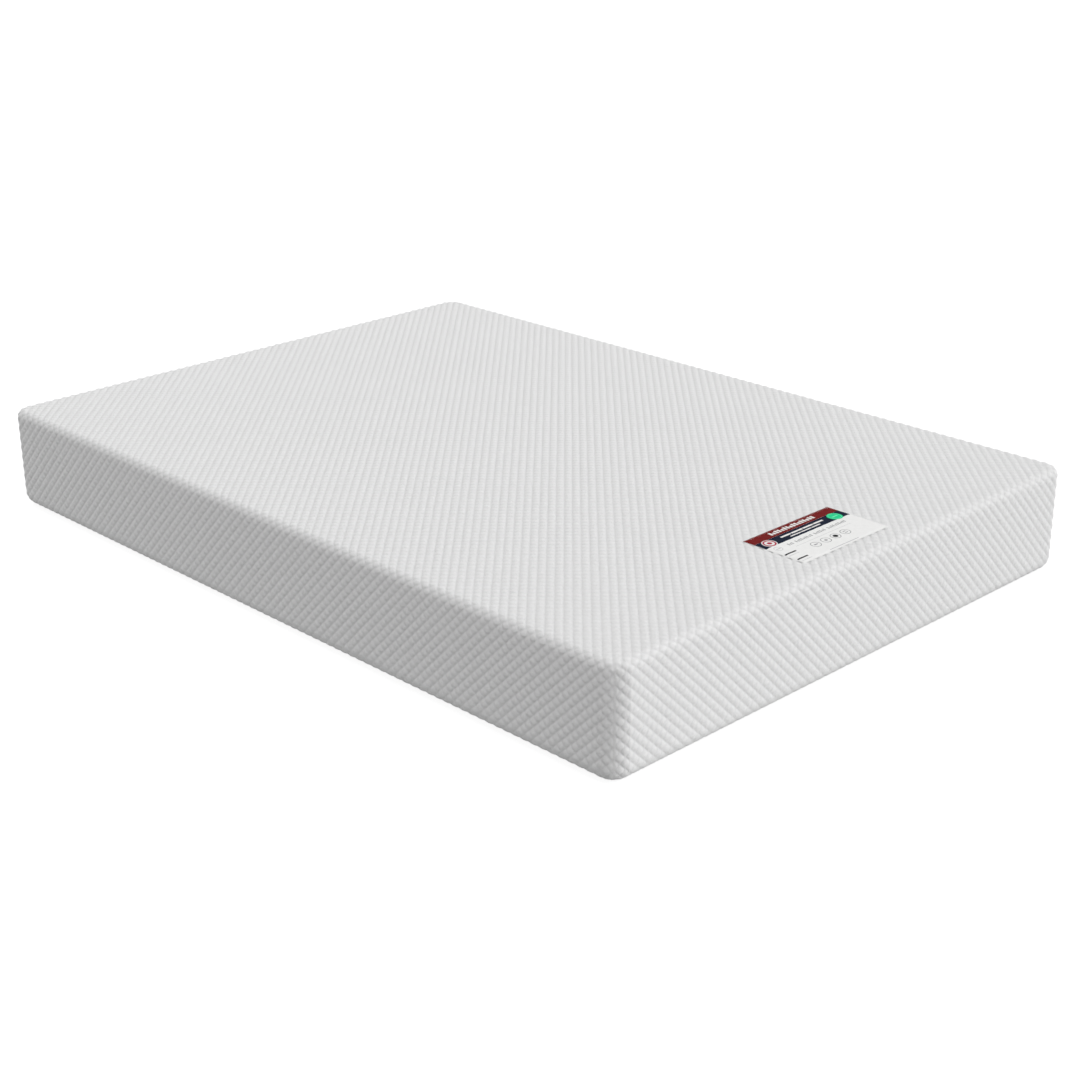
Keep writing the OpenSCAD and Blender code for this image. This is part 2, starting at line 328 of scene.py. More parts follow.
def build_side(cover, side, top, seams):
    """One side with its share of the top edge and of the corners, from seam to seam."""
    out, along, n_out_steps, n_along = SIDES[side]
    out, along = np.array(out, float), np.array(along, float)
    seam_column = n_along + math.pi / 4 * CORNER_R / STEP
    corner = np.arange(n_along + 0.5, seam_column - 0.3, 0.5)
    middle = np.arange(-n_along, n_along + 1.0)
    columns = np.concatenate([[-seam_column], -corner[::-1], middle, corner, [seam_column]])
    k, c = np.meshgrid(np.arange(BELT_ROWS + 1.0), columns, indexing="ij")
    run, t = np.minimum(k * STEP, BELT_L), c * STEP
    s = run - FLAT_R

    # Where each point lies in the pattern. Round the corners the flat top's pattern turns into
    # the wall's own, which runs straight on to the corner seam
    angle = np.clip(np.abs(t) - n_along * STEP, 0, None) / CORNER_R
    wall = smoothstep(s / ARC_TOP)
    roped = ROPE_ENDS if side in ("foot", "head") else 1.0
    pattern_k = run / STEP * (np.cos(angle) * (1 - wall) + wall)
    flat_c = np.minimum(np.abs(c), n_along) + run / STEP * np.sin(angle)
    pattern_c = (flat_c * (1 - wall) + np.abs(c) * wall) * np.sign(c)
    pi = out[0] * (n_out_steps + pattern_k) + along[0] * pattern_c
    pj = out[1] * (n_out_steps + pattern_k) + along[1] * pattern_c

    # Grid lines crowd to the grooves, except at seams and round the corners' tops
    to_seam = (seam_column - np.abs(c)) * STEP
    free = smoothstep(to_seam / (3 * STEP)) * smoothstep((BELT_L - run) / (2 * STEP))
    free = np.where((angle > 0) & (s < ARC_TOP), 0, free)
    keep = 1 - smoothstep(s / (0.6 * ARC_TOP)) * (1 - smoothstep(to_seam / SEAM_REACH))
    keep = keep * smoothstep((BELT_L - run) / SEAM_REACH)
    calm_from = ARC_TOP + WALL_H - CALM_BEFORE * ARC_BOTTOM
    under = smoothstep((s - calm_from) / (CALM_SPAN * ARC_BOTTOM))
    keep = keep * (1 - BOTTOM_CALM * under)
    down = sideways = 0.0
    if side == "right":
        past = np.maximum(np.abs(c) - SLOT_COLUMN, 0)
        above = np.maximum(SLOT_TOP_ROW - k, 0) + np.maximum(k - SLOT_BOTTOM_ROW, 0)
        opening = np.hypot(past, above) * STEP
        down, sideways = slot_shift(k, c)
        free = free * smoothstep(opening / (3 * STEP))
        keep = keep * (0.25 + 0.75 * smoothstep(opening / SEAM_REACH))
    di, dj = groove_pull(pi, pj)
    run = run + (di * out[0] + dj * out[1]) * free * STEP + down
    t = t + (di * along[0] + dj * along[1]) * free * STEP + sideways

    # Onto the rounded block. Underneath, past the corners' centres, the sides meet in a mitre
    flat_t = np.clip(t, -n_along * STEP, n_along * STEP)
    bend = (t - flat_t) / CORNER_R
    reach, z, n_out, n_up = belt_profile(run)
    past = np.minimum(reach, 0)
    mitred_t = np.clip(flat_t, -n_along * STEP - past, n_along * STEP + past)
    ray = out * np.cos(bend)[..., None] + along * np.sin(bend)[..., None]
    centre = out * (n_out_steps * STEP) + along * flat_t[..., None]
    place = out * (n_out_steps * STEP + past)[..., None] + along * mitred_t[..., None]
    place = place + ray * (reach - past)[..., None]
    p = np.concatenate([place, z[..., None]], -1)
    normal = np.concatenate([ray * n_out[..., None], n_up[..., None]], -1)
    p, h = lay_domes(p, normal, pi, pj, keep, free, wall * roped)
    unrolled = centre + ray * run[..., None]

    # Welded to the top along the first row, and to the next side along the end columns
    ids = np.full(k.shape, -1)
    at = np.clip(columns, -n_along, n_along).astype(int)
    x = np.rint(out[0] * n_out_steps + along[0] * at).astype(int) + FLAT_STEPS_X
    y = np.rint(out[1] * n_out_steps + along[1] * at).astype(int) + FLAT_STEPS_Y
    ids[0] = top[x, y]
    ids[1:, 1:-1] = cover.add(p[1:, 1:-1], h[1:, 1:-1], unrolled[1:, 1:-1])
    for column, sign in ((0, -1), (-1, 1)):
        corner_name = tuple(np.rint(out + sign * along).astype(int))
        if corner_name not in seams:
            seams[corner_name] = cover.add(p[1:, column], h[1:, column], unrolled[1:, column])
        ids[1:, column] = seams[corner_name]

    tris, mid_i, mid_j = groove_cut(ids, pi, pj)
    centre_i, centre_j = dome_centre(mid_i, mid_j)
    outward = centre_i * out[0] + centre_j * out[1] - n_out_steps
    top_piece = np.where(centre_j < 0, 0, 1)
    owner = np.where(outward < SPLIT_STEPS, top_piece, PIECES.index("side_" + side))
    if side != "right":
        cover.cells(tris, owner)
        return
    rows, lines = k[:-1, :-1], c[:-1, :-1]
    hole = (rows >= SLOT_TOP_ROW) & (rows < SLOT_BOTTOM_ROW) & (np.abs(lines + 0.5) < SLOT_COLUMN)
    cover.cells(tris[~hole], owner[~hole])
    build_hem(cover, ids, columns, p)


def build_hem(cover, ids, columns, p):
    """Turns the fabric in along the edges of the zip's opening."""
    first, last = np.searchsorted(columns, [-SLOT_COLUMN, SLOT_COLUMN])
    r = np.concatenate(
        [
            np.full(last - first, SLOT_TOP_ROW),
            np.arange(SLOT_TOP_ROW, SLOT_BOTTOM_ROW),
            np.full(last - first, SLOT_BOTTOM_ROW),
            np.arange(SLOT_BOTTOM_ROW, SLOT_TOP_ROW, -1),
        ]
    )
    q = np.concatenate(
        [
            np.arange(first, last),
            np.full(SLOT_BOTTOM_ROW - SLOT_TOP_ROW, last),
            np.arange(last, first, -1),
            np.full(SLOT_BOTTOM_ROW - SLOT_TOP_ROW, first),
        ]
    )
    loop = ids[r, q]
    start = p[r, q]
    rim = HALF_W - HEM_DEPTH
    for depth in HEM_TURNS:
        ring = start.copy()
        ring[:, 0] = rim - depth
        flats = np.stack([ring[:, 0] - depth, ring[:, 1]], -1)
        inner = cover.add(ring, np.full(len(ring), 0.5), flats)
        a, b = loop, np.roll(loop, -1)
        d, e = inner, np.roll(inner, -1)
        pairs = np.stack([np.stack([a, d, e], -1), np.stack([a, e, b], -1)], 1)
        cover.cells(pairs, np.full(len(loop), PIECES.index("side_right")))
        loop = inner


def build_cover():
    """The whole cover as one welded sheet."""
    cover = Cover()
    top = build_top(cover)
    seams = {}
    for side in SIDES:
        build_side(cover, side, top, seams)
    cover.points = np.concatenate(cover.points)
    cover.lofts = np.concatenate(cover.lofts)
    cover.flats = np.concatenate(cover.flats)
    cover.tris = np.concatenate(cover.tris)
    cover.owners = np.concatenate(cover.owners)
    a, b, c = (cover.points[cover.tris[:, k]] for k in range(3))
    solid = np.linalg.norm(np.cross(b - a, c - a), axis=1) > SMALLEST_FACE
    cover.tris, cover.owners = cover.tris[solid], cover.owners[solid]
    return cover


def bake_layout(flat, side):
    """Each corner's place in a square layout for baking a piece's finish."""
    edge = 0.006
    if side.startswith("top"):
        low, high = flat.min((0, 1)), flat.max((0, 1))
        return edge + (1 - 2 * edge) * (flat - low) / (high - low)
    out, along, n_out, _ = SIDES[side.split("_")[1]]
    t = flat @ np.array(along, float)
    run = flat @ np.array(out, float) - n_out * STEP
    run = (run - run.min()) / (run.max() - run.min())
    t = (t - t.min()) / (t.max() - t.min())
    strips = 3
    strip = np.clip(np.floor(t.mean(1, keepdims=True) * strips), 0, strips - 1)
    slack = 0.02  # a face across a cut reaches a little past its strip
    u = (t * strips - strip + slack) / (1 + 2 * slack)
    u = edge + (1 - 2 * edge) * u
    v = (strip + edge + (1 - 2 * edge) * run) / strips
    return np.stack([u, v], -1)


def make_cover_pieces(cover, material):
    """Cuts the sheet into its pieces, which share the whole sheet's normals along the cuts."""
    normals = vertex_normals(cover.points, cover.tris)
    pieces = []
    for number, side in enumerate(PIECES):
        tris = cover.tris[cover.owners == number]
        used, local = np.unique(tris, return_inverse=True)
        ob = new_object("cover_" + side, cover.points[used], local.reshape(-1, 3))
        flat = cover.flats[tris]
        set_uv(ob, "OFBake", bake_layout(flat, side))
        set_uv(ob, "Knit", flat)
        # The loft, 0 in the grooves and 1 on the crowns, lets the knit's material paint shade into the
        # grooves
        loft = ob.data.attributes.new("loft", "FLOAT", "POINT")
        loft.data.foreach_set("value", cover.lofts[used].astype(np.float32))
        ob.data.normals_split_custom_set_from_vertices(normals[used].tolist())
        finish_piece(ob, material, ["top_cover"])
        pieces.append(ob)
    return pieces


# ---------------------------------------------------------------- small makers


def tube_tris(rings, sides):
    """Triangles of a tube of rings of points, with both ends closed."""
    quads = grid_faces(rings, sides, closed=True)
    walls = np.concatenate([quads[:, [0, 1, 2]], quads[:, [0, 2, 3]]])
    fan = np.array([[0, k + 1, k] for k in range(1, sides - 1)])
    end = fan[:, ::-1] + (rings - 1) * sides
    return np.concatenate([walls, fan, end])


def stitches(name, starts, ends, normals, radius=0.35 * MM, lift=0.45 * MM, rings=5, sides=5):
    """Short arcs of thread from starts to ends, which rise by lift and dive in at both ends."""
    starts, ends = np.asarray(starts, float), np.asarray(ends, float)
    normals = np.broadcast_to(np.asarray(normals, float), starts.shape)
    t = np.linspace(0, 1, rings)
    axis = ends - starts
    side = np.cross(normals, axis)
    side /= np.linalg.norm(side, axis=1)[:, None]
    arch = np.sin(math.pi * t) ** 0.6
    centre = starts[:, None] + axis[:, None] * t[None, :, None]
    centre = centre + normals[:, None] * (lift * arch - radius)[None, :, None]
    turn = 2 * math.pi * np.arange(sides) / sides
    ring = side[:, None, :] * np.cos(turn)[None, :, None]
    ring = ring + normals[:, None, :] * np.sin(turn)[None, :, None]
    thick = radius * (0.5 + 0.5 * arch)
    points = centre[:, :, None] + ring[:, None] * thick[None, :, None, None]
    tris = tube_tris(rings, sides)
    size = rings * sides
    tris = tris[None] + size * np.arange(len(starts))[:, None, None]
    return new_object(name, points.reshape(-1, 3), tris.reshape(-1, 3))


def tube(name, path, radius, sides, flat=(1.0, 1.0), closed=False, up=(0, 0, 1)):
    """A tube along a path. flat squeezes its section across and along the up direction."""
    path = np.asarray(path, float)
    if closed:
        tangent = np.roll(path, -1, 0) - np.roll(path, 1, 0)
    else:
        tangent = np.gradient(path, axis=0)
    tangent /= np.linalg.norm(tangent, axis=1)[:, None]
    across = np.cross(tangent, np.broadcast_to(np.asarray(up, float), path.shape))
    across /= np.maximum(np.linalg.norm(across, axis=1), 1e-9)[:, None]
    rise = np.cross(across, tangent)
    turn = 2 * math.pi * np.arange(sides) / sides
    ring = across[:, None] * np.cos(turn)[None, :, None] * flat[0]
    ring = ring + rise[:, None] * np.sin(turn)[None, :, None] * flat[1]
    points = (path[:, None] + radius * ring).reshape(-1, 3)
    if not closed:
        return new_object(name, points, tube_tris(len(path), sides))
    faces = grid_faces(len(path) + 1, sides, closed=True) % len(points)
    return new_object(name, points, faces)


def rounded_outline(half_w, half_l, radius, arc_points=9, side_points=1):
    """Points round a rounded rectangle, anticlockwise, with their outward directions."""
    points, outward = [], []
    corners = [(1, -1, -90), (1, 1, 0), (-1, 1, 90), (-1, -1, 180)]
    for sx, sy, start in corners:
        centre = np.array([sx * (half_w - radius), sy * (half_l - radius)])
        for angle in np.radians(start + np.linspace(0, 90, arc_points)):
            ray = np.array([math.cos(angle), math.sin(angle)])
            points.append(centre + radius * ray)
            outward.append(ray)
    points, outward = np.array(points), np.array(outward)
    if side_points > 1:
        length = np.linalg.norm(np.roll(points, -1, 0) - points, axis=1)
        along = np.concatenate([[0], np.cumsum(length)])
        where = np.linspace(0, along[-1], side_points, endpoint=False)
        loop = np.concatenate([points, points[:1]])
        rays = np.concatenate([outward, outward[:1]])
        points = np.stack([np.interp(where, along, loop[:, a]) for a in (0, 1)], -1)
        outward = np.stack([np.interp(where, along, rays[:, a]) for a in (0, 1)], -1)
        outward /= np.linalg.norm(outward, axis=1)[:, None]
    return points, outward


def ring_block(bm, half_w, half_l, radius, profile, flip=False):
    """Adds a closed block made of rings (inset, height) of a rounded rectangle, capped flat."""
    rings = []
    for inset, z in profile:
        keep = max(radius - inset, 0.4 * MM)
        outline = rounded_outline(half_w - inset, half_l - inset, keep)[0]
        rings.append([bm.verts.new((x, y, z)) for x, y in outline])
    count = len(rings[0])
    made = []
    for low, high in zip(rings, rings[1:]):
        for k in range(count):
            m = (k + 1) % count
            made.append(bm.faces.new((low[k], low[m], high[m], high[k])))
    made.append(bm.faces.new(rings[0][::-1]))
    made.append(bm.faces.new(rings[-1]))
    if flip:
        bmesh.ops.reverse_faces(bm, faces=made)


def edge_profile(low, high, bottom_r, top_r, steps=5):
    """Rings (inset, height) of a block with rounded bottom and top edges."""
    turns = [math.pi / 2 * k / steps for k in range(steps + 1)]
    bottom = [(bottom_r * (1 - math.sin(a)), low + bottom_r * (1 - math.cos(a))) for a in turns]
    top = [(top_r * (1 - math.cos(a)), high - top_r * (1 - math.sin(a))) for a in turns]
    return bottom + top


def from_bmesh(bm, name):
    mesh = bpy.data.meshes.new(name)
    bm.to_mesh(mesh)
    bm.free()
    mesh.polygons.foreach_set("use_smooth", np.full(len(mesh.polygons), True))
    ob = bpy.data.objects.new(name, mesh)
    bpy.context.scene.collection.objects.link(ob)
    return ob


def block_piece(name, node, corner_r, bottom_r, top_r, wall=None):
    """A rounded block in a CAD node's box, hollow if it is given a wall."""
    low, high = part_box(node)
    bm = bmesh.new()
    ring_block(bm, high.x, high.y, corner_r, edge_profile(low.z, high.z, bottom_r, top_r))
    if wall:
        inner = edge_profile(low.z + wall, high.z - wall, bottom_r - wall, top_r - wall)
        ring_block(bm, high.x - wall, high.y - wall, corner_r - wall, inner, flip=True)
    return from_bmesh(bm, name)


# ---------------------------------------------------------------- materials


def srgb(*levels):
    """Linear colour from 0 to 255 display levels."""
    return tuple((v / 255) ** 2.2 for v in levels) + (1.0,)


class Look:
    """A material's nodes, with short calls for those that repeat."""

    def __init__(self, name, **fixed):
        self.material = bpy.data.materials.new(name)
        self.material.use_nodes = True
        self.tree = self.material.node_tree
        self.shader = self.tree.nodes["Principled BSDF"]
        for socket, value in fixed.items():
            self.shader.inputs[socket.replace("_", " ")].default_value = value
        self.place = self.add("TexCoord").outputs["Object"]

    def put(self, node, socket, value):
        if isinstance(value, bpy.types.NodeSocket):
            self.tree.links.new(value, node.inputs[socket])
        else:
            node.inputs[socket].default_value = value

    def add(self, kind, inputs=None, **props):
        node = self.tree.nodes.new("ShaderNode" + kind)
        for key, value in props.items():
            setattr(node, key, value)
        for socket, value in (inputs or {}).items():
            self.put(node, socket, value)
        return node

    def math(self, operation, a, b=0.0):
        return self.add("Math", {0: a, 1: b}, operation=operation).outputs[0]

    def split(self, vector):
        return self.add("SeparateXYZ", {0: vector}).outputs

    def noise(self, scale, detail=2.0, vector=None):
        inputs = {"Vector": vector or self.place, "Scale": scale, "Detail": detail}
        return self.add("TexNoise", inputs).outputs["Fac"]

    def wave(self, distance, pitch):
        """A sine from 0 to 1 along a distance."""
        turns = self.math("MULTIPLY", distance, 2 * math.pi / pitch)
        return self.math("MULTIPLY_ADD", self.math("SINE", turns), 0.5)

    def blend(self, factor, dark, light):
        node = self.add("Mix", data_type="RGBA")
        self.put(node, 0, factor)
        self.put(node, 6, dark)
        self.put(node, 7, light)
        return node.outputs[2]

    def tint(self, colour, factor, by=0.06):
        """The base colour, darker by a share where the factor is low."""
        dark = tuple(v * (1 - by) for v in colour[:3]) + (1.0,)
        self.put(self.shader, "Base Color", self.blend(factor, dark, colour))

    def relief(self, height, depth, strength=1.0):
        inputs = {"Height": height, "Strength": strength, "Distance": depth}
        normal = self.add("Bump", inputs).outputs[0]
        self.put(self.shader, "Normal", normal)

    def rough(self, factor, low, high):
        span = self.add("MapRange", {0: factor, 3: low, 4: high}).outputs[0]
        self.put(self.shader, "Roughness", span)


def knit_look(name, colour, pitch=1.25 * MM, uv=None, loft=False, depth=0.12 * MM):
    """Weft knit: rows of small V stitches, with painted shade darker in the stitches' hollows and, with
    loft, in the grooves between the domes.
    """
    look = Look(name, Sheen_Weight=0.25, Sheen_Roughness=0.5, Specular_IOR_Level=0.25)
    place = look.add("UVMap", uv_map=uv).outputs[0] if uv else look.place
    x, y, _ = look.split(place)
    wale = look.math("FRACT", look.math("DIVIDE", x, pitch))
    slant = look.math("ABSOLUTE", look.math("SUBTRACT", wale, 0.5))
    course = look.math("ADD", look.math("DIVIDE", y, 0.8 * pitch), look.math("MULTIPLY", slant, 1.6))
    loops = look.wave(course, 1.0)
    legs = look.math("SINE", look.math("MULTIPLY", slant, 2 * math.pi))
    height = look.math("MULTIPLY", look.math("ADD", loops, 0.4), legs)
    look.relief(height, depth)
    worn = look.noise(9.0, 4.0)
    # Random tone, plus painted shade that darkens the stitches' hollows
    wear_and_shade = look.math("ADD", look.math("MULTIPLY", worn, 0.5), look.math("MULTIPLY", height, 0.35))
    if loft:
        # Painted shade: darker in the grooves between the domes, where the loft is low
        crown = look.add("Attribute", attribute_name="loft").outputs["Fac"]
        wear_and_shade = look.math("ADD", look.math("MULTIPLY", wear_and_shade, 0.6), look.math("MULTIPLY", crown, 0.5))
    look.tint(colour, wear_and_shade, 0.07)
    look.rough(worn, 0.78, 0.92)
    return look.material


def weave_look(name, colour, pitch, axes=(0, 1), depth=0.12 * MM, gloss=0.25, twill=0.0):
    """Plain or twill weave across two of the object's axes, with painted shade darker between the warp
    threads.
    """
    look = Look(name, Sheen_Weight=0.15, Specular_IOR_Level=gloss)
    parts = look.split(look.place)
    a, b = parts[axes[0]], parts[axes[1]]
    slanted = look.math("ADD", a, look.math("MULTIPLY", b, twill))
    warp, weft = look.wave(slanted, pitch), look.wave(b, pitch)
    height = look.math("ADD", look.math("MULTIPLY", warp, weft), look.noise(900.0, 1.0))
    look.relief(height, depth)
    worn = look.noise(40.0, 4.0)
    # Random tone, plus painted shade between the warp threads
    look.tint(colour, look.math("ADD", look.math("MULTIPLY", worn, 0.6), warp), 0.1)
    look.rough(worn, 0.6, 0.85)
    return look.material


def thread_look(name, colour):
    """Twisted sewing thread, with painted shade in the grooves between its plies."""
    look = Look(name, Sheen_Weight=0.3, Specular_IOR_Level=0.4)
    x, y, z = look.split(look.place)
    run = look.math("ADD", look.math("ADD", x, y), look.math("MULTIPLY", z, 0.7))
    ply = look.wave(run, 0.55 * MM)
    look.relief(ply, 0.08 * MM)
    # Painted shade: darker in the grooves between the plies
    look.tint(colour, ply, 0.12)
    look.rough(look.noise(300.0), 0.45, 0.7)
    return look.material


def foam_look(name, colour, cell):
    """Open-cell foam: round pores of mixed size, with painted shade darker where the relief is low, in
    the pores most.
    """
    look = Look(name, Specular_IOR_Level=0.2)
    inputs = {"Vector": look.place, "Scale": 1 / cell}
    pores = look.add("TexVoronoi", inputs, feature="SMOOTH_F1").outputs["Distance"]
    height = look.math("ADD", pores, look.noise(0.3 / cell, 3.0))
    look.relief(height, 0.5 * MM)
    # Painted shade: darker where the relief is low, in the pores most
    look.tint(colour, height, 0.16)
    look.rough(look.noise(60.0), 0.85, 1.0)
    return look.material


def metal_look(name, colour):
    """Cast zinc with a brushed plating, worn at random."""
    look = Look(name, Metallic=1.0)
    x, y, z = look.split(look.place)
    stretch = look.add("CombineXYZ", {0: x, 1: look.math("MULTIPLY", y, 0.1), 2: z}).outputs[0]
    brushed = look.noise(4000.0, 2.0, stretch)
    look.relief(brushed, 0.02 * MM)
    worn = look.noise(400.0, 3.0)
    look.tint(colour, worn, 0.25)
    look.rough(brushed, 0.25, 0.42)
    return look.material


def nylon_look(name, colour):
    look = Look(name, Specular_IOR_Level=0.55, Subsurface_Weight=0.15, Subsurface_Scale=0.001)
    worn = look.noise(500.0, 3.0)
    look.relief(worn, 0.03 * MM)
    look.tint(colour, worn, 0.08)
    look.rough(worn, 0.28, 0.45)
    return look.material


def ink_look(name, colour, gloss=0.08):
    """Ink on satin ribbon: fine crosswise ribs show through the colour, with a little painted shade
    between them.
    """
    look = Look(name, Specular_IOR_Level=gloss)
    x, y, _ = look.split(look.place)
    ribs = look.math("ADD", look.wave(y, 0.7 * MM), look.math("MULTIPLY", look.wave(x, 1.1 * MM), 0.4))
    look.relief(ribs, 0.05 * MM)
    # Uneven ink at random, plus a little painted shade between the ribs
    look.tint(colour, look.math("ADD", look.noise(120.0, 3.0), look.math("MULTIPLY", ribs, 0.2)), 0.09)
    look.rough(look.noise(200.0), 0.6, 0.75)
    return look.material


def floor_look():
    look = Look("studio_floor", Roughness=0.95, Specular_IOR_Level=0.0)
    look.shader.inputs["Base Color"].default_value = (*[FLOOR_LEVEL] * 3, 1)
    look.shader.inputs["Emission Color"].default_value = (1, 1, 1, 1)
    look.shader.inputs["Emission Strength"].default_value = FLOOR_GLOW
    return look.material


# ---------------------------------------------------------------- the printed label

label_low, label_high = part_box("top_label")
LABEL_X, LABEL_Y = label_low.x, label_high.y
LABEL_W = label_high.x - label_low.x
LABEL_L = label_high.y - label_low.y
LABEL_THICK = 0.45 * MM
LABEL_PRESS = 0.9 * MM


def beyond_label(x, y):
    """Distance outside the label's border, negative inside it."""
    out_x = np.abs(x - LABEL_X - LABEL_W / 2) - LABEL_W / 2
    out_y = np.abs(y - LABEL_Y + LABEL_L / 2) - LABEL_L / 2
    outside = np.hypot(np.maximum(out_x, 0), np.maximum(out_y, 0))
    return outside + np.minimum(np.maximum(out_x, out_y), 0)


def label_press(x, y):
    """How far the label holds the cover down, easing off beyond its edges."""
    return LABEL_PRESS * (1 - smoothstep(beyond_label(x, y) / (5 * MM)))


def label_border(x, y):
    """How much the label's seam flattens the domes: 1 along it, 0 further off."""
    return 1 - smoothstep(np.abs(beyond_label(x, y) + 2 * MM) / (6 * MM))


def label_height(x, y):
    """The label's underside: it lies over the domes, which show through as a faint wave."""
    domes = np.cos(2 * math.pi * x / (STEPS_PER_DOME * STEP))
    domes = domes * np.cos(2 * math.pi * y / (STEPS_PER_DOME * STEP))
    drift = np.sin(23 * x + 9 * y) * 0.25 + np.sin(41 * y - 17 * x) * 0.2
    edge = 1 - smoothstep(-beyond_label(x, y) / (7 * MM))
    return TOP_Z - 0.6 * MM + (0.16 * domes + 0.3 * drift * (1 - edge) - 1.25 * edge) * MM


def laid_slab(name, xy, closed, lift, thick):
    """A thin closed slab over a grid of (x, y) points, laid on the label."""
    rows, columns = xy.shape[:2]
    z = label_height(xy[..., 0], xy[..., 1]) + lift
    top = np.concatenate([xy, (z + thick)[..., None]], -1)
    bottom = np.concatenate([xy, z[..., None]], -1)
    points = np.concatenate([top.reshape(-1, 3), bottom.reshape(-1, 3)])
    quads = grid_faces(rows, columns, closed)
    size = rows * columns
    index = np.arange(size).reshape(rows, columns)
    if closed:
        rims = [index[0], index[-1][::-1]]
    else:
        rims = [np.concatenate([index[0, :-1], index[:-1, -1], index[-1, :0:-1], index[:0:-1, 0]])]
    faces = [quads[:, ::-1], quads + size]
    for rim in rims:
        after = np.roll(rim, -1)
        faces.append(np.stack([rim, after, after + size, rim + size], -1))
    faces = np.concatenate(faces)
    a, b = points[faces[0, 1]] - points[faces[0, 0]], points[faces[0, 2]] - points[faces[0, 0]]
    if a[0] * b[1] - a[1] * b[0] < 0:
        faces = faces[:, ::-1]
    return new_object(name, points, faces, smooth=False)


def rect_grid(u0, u1, v0, v1, cell=3.0):
    """Grid of points of a label rectangle, in mm from the label's head-left corner."""
    u = np.linspace(u0, u1, max(2, round((u1 - u0) / cell) + 1)) * MM
    v = np.linspace(v0, v1, max(2, round((v1 - v0) / cell) + 1)) * MM
    x, y = np.meshgrid(LABEL_X + u, LABEL_Y - v, indexing="ij")
    return np.stack([x, y], -1)


def ring_grid(u, v, inner, outer, sides=40):
    """Grid of points of a label ring, in mm; a disc when its inner radius is tiny."""
    radii = np.linspace(inner, outer, max(2, round((outer - inner) / 3.0) + 1)) * MM
    turn = 2 * math.pi * np.arange(sides) / sides
    x = LABEL_X + u * MM + radii[:, None] * np.cos(turn)[None]
    y = LABEL_Y - v * MM + radii[:, None] * np.sin(turn)[None]
    return np.stack([x, y], -1)


def join(name, parts):
    """One object out of several."""
    bm = bmesh.new()
    for part in parts:
        bm.from_mesh(part.data)
        bpy.data.objects.remove(part)
    bmesh.ops.remove_doubles(bm, verts=bm.verts, dist=0.2e-6)
    ob = from_bmesh(bm, name)
    ob.data.polygons.foreach_set("use_smooth", np.full(len(ob.data.polygons), False))
    return ob


def bar(u0, u1, v0, v1):
    return ("bar", (u0, u1, v0, v1))


def disc(u, v, radius):
    return ("ring", (u, v, 0.05, radius))


def hoop(u, v, radius, line):
    return ("ring", (u, v, radius - line, radius))


def word_bars(spans, v0, v1):
    return [bar(a, b, v0, v1) for a, b in spans]


def tally(u0, u1, v0, v1, pitch, share=0.62):
    """A row of plain upright strokes, every third one shorter, where wording would be."""
    count = max(1, round((u1 - u0) / pitch))
    tall = v1 - v0
    rows = []
    for k in range(count):
        drop = 0.28 * tall if k % 3 == 1 else 0.0
        start = u0 + k * (u1 - u0) / count
        rows.append(bar(start, start + share * (u1 - u0) / count, v0 + drop, v1))
    return rows


# What is printed: name, colour, layer, shapes. Wording is left out, and plain bars stand for it
PRINT = [
    ("maroon_band", srgb(118, 30, 30), 0, [bar(0.6, 254.4, 0.6, 29)]),
    ("navy_band", srgb(26, 35, 54), 0, [bar(0.6, 254.4, 29.3, 57)]),
    (
        "pale_bars",
        srgb(238, 236, 234),
        1,
        tally(60, 193, 10.5, 22, 8.5, 0.7)
        + word_bars([(64, 93), (95, 128), (130, 160), (162, 190)], 37, 42)
        + word_bars([(82, 112), (114, 143), (145, 171)], 47, 50.5)
        + [disc(26, 43.5, 15.5)],
    ),
    ("emblem_rose", srgb(176, 52, 74), 2, [hoop(26, 43.5, 13.4, 3.2), disc(26, 43.5, 5.0)]),
    ("mint_badge", srgb(46, 214, 146), 1, [disc(222, 44, 16)]),
    ("badge_rim", srgb(120, 232, 188), 2, [hoop(222, 44, 13.6, 1.0), bar(214, 230, 42.4, 45.6)]),
    (
        "grey_bars",
        srgb(150, 150, 152),
        0,
        tally(46, 62, 68, 76, 5.5, 0.45)
        + tally(68, 118, 68, 76, 5.5, 0.45)
        + tally(124, 158, 68, 76, 5.5, 0.45)
        + tally(164, 220, 68, 76, 5.5, 0.45)
        + [hoop(u, 107, 11, 1.3) for u in (84, 114, 143, 173)]
        + [bar(79, 89, 105.5, 108.5), disc(114, 107, 3.4)]
        + [bar(169, 177, 103, 105), bar(169, 177, 109, 111)],
    ),
    (
        "thin_lines",
        srgb(196, 196, 198),
        0,
        [bar(50, 215, 86.8, 87.5), bar(4, 33, 108, 109), bar(4, 32, 138.6, 139.6)]
        + [hoop(17, 72, 9, 1.0), bar(11, 23, 71, 73)]
        + [bar(82, 168, 141, 142.6)],
    ),
    (
        "black_bars",
        srgb(34, 34, 36),
        0,
        [bar(3, 34, 97.5, 101.5), bar(3, 32, 127, 131), disc(143, 107, 5.5)],
    ),
]
PRINT_THICK = 0.14 * MM


def make_label():
    sheet = laid_slab(
        "label_sheet", rect_grid(0, LABEL_W / MM, 0, LABEL_L / MM), False, 0.0, LABEL_THICK
    )
    white = ink_look("label_satin", srgb(243, 243, 242))
    finish_piece(sheet, white, ["top_label"])
    for name, colour, layer, shapes in PRINT:
        parts = []
        for kind, numbers in shapes:
            grid = rect_grid(*numbers) if kind == "bar" else ring_grid(*numbers)
            lift = LABEL_THICK + PRINT_THICK * (layer - 0.4)
            parts.append(laid_slab("part", grid, kind == "ring", lift, PRINT_THICK))
        ob = join("label_" + name, parts)
        finish_piece(ob, ink_look("ink_" + name, colour))
    thread = frame_stitches(
        "label_thread",
        [(label_low.x, label_low.y), (label_high.x, label_high.y)],
        lambda x, y: label_height(x, y) + LABEL_THICK,
    )
    finish_piece(thread, thread_look("label_thread", srgb(232, 232, 230)),
                 ["label_stitching"])


